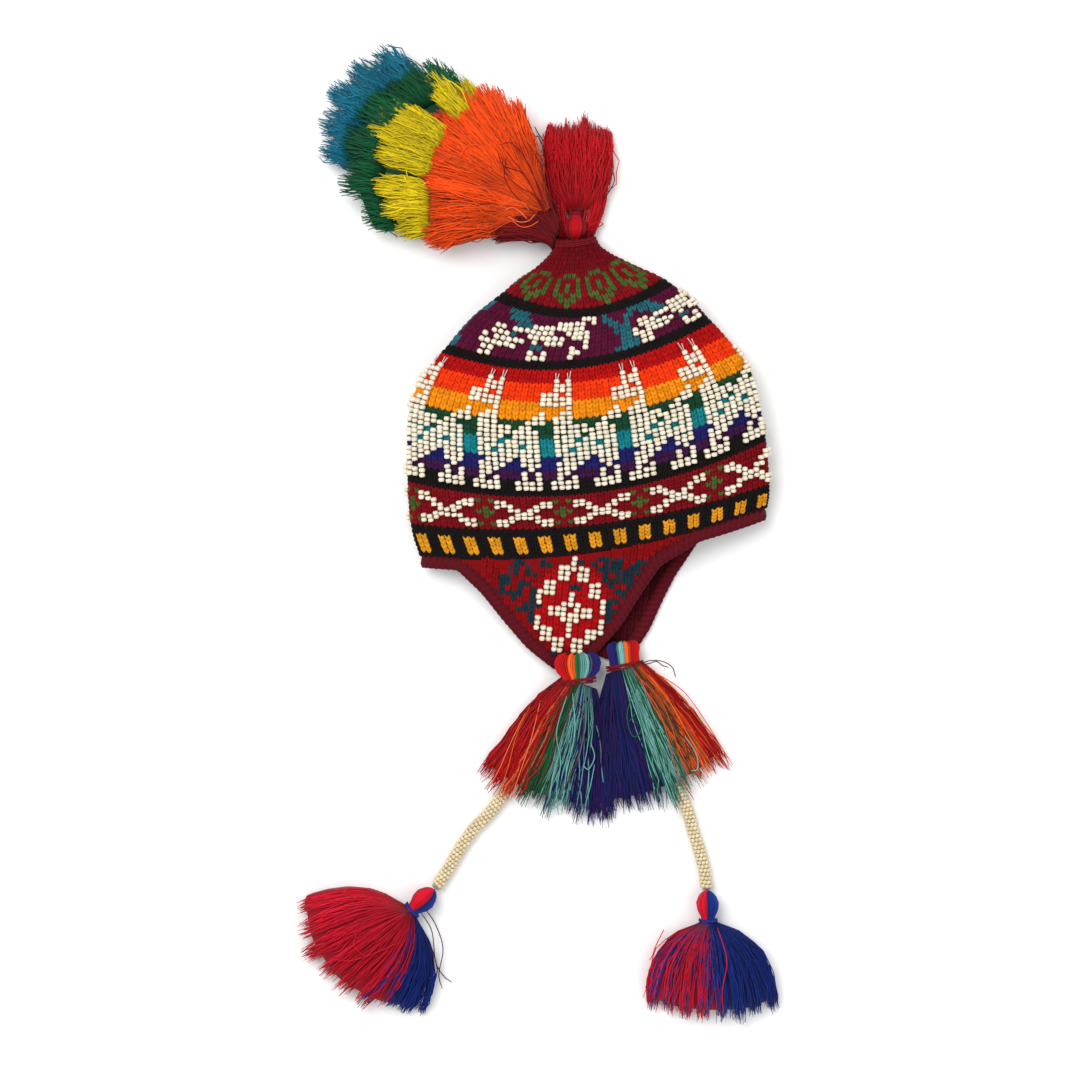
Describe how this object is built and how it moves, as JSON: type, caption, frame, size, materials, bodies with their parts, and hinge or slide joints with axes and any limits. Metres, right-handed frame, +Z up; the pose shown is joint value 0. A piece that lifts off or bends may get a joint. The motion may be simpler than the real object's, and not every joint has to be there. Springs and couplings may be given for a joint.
{
  "type": "beaded chullo hat",
  "caption": "Knitted Andean hat lying flat, with beaded figures, ear flaps, yarn tassels, bead ropes with pompoms and a tiered yarn plume.",
  "frame": {"origin": "centre of the hat's bounding box, on the table it lies on", "axes": "+X across the hat to its right as seen from above, +Y from the ear flaps towards the crown's tassels, +Z up from the table"},
  "size_m": [0.3276, 0.6578, 0.046],
  "materials": {
    "knit": "knitted wool",
    "border_yarn": "wool yarn",
    "mixed_yarn": "wool yarn",
    "tie_yarn": "wool yarn",
    "ivory_beads": "pearl beads",
    "red_yarn": "wool yarn",
    "crimson_yarn": "wool yarn",
    "navy_yarn": "wool yarn",
    "dark_red_yarn": "wool yarn",
    "orange_yarn": "wool yarn",
    "yellow_yarn": "wool yarn",
    "green_yarn": "wool yarn",
    "teal_yarn": "wool yarn"
  },
  "bodies": {
    "root": {"crown_upper_side": "knit", "crown_under_side": "knit", "ear_flap_upper": "knit", "ear_flap_lower": "knit", "rim_border": "border_yarn", "flap_tassel_upper": "mixed_yarn", "flap_tassel_lower": "mixed_yarn", "flap_tassel_upper_tie": "tie_yarn", "flap_tassel_lower_tie": "tie_yarn", "bead_rope_left": "ivory_beads", "bead_rope_right": "ivory_beads", "pompom_left": "crimson_yarn", "pompom_right": "crimson_yarn", "pompom_left_tie": "navy_yarn", "pompom_right_tie": "navy_yarn", "crown_tassel": "red_yarn", "crown_tassel_tie": "red_yarn", "plume_red_tier": "dark_red_yarn", "plume_orange_tier": "orange_yarn", "plume_yellow_tier": "yellow_yarn", "plume_green_tier": "green_yarn", "plume_teal_tier": "teal_yarn"}
  },
  "joints": []
}
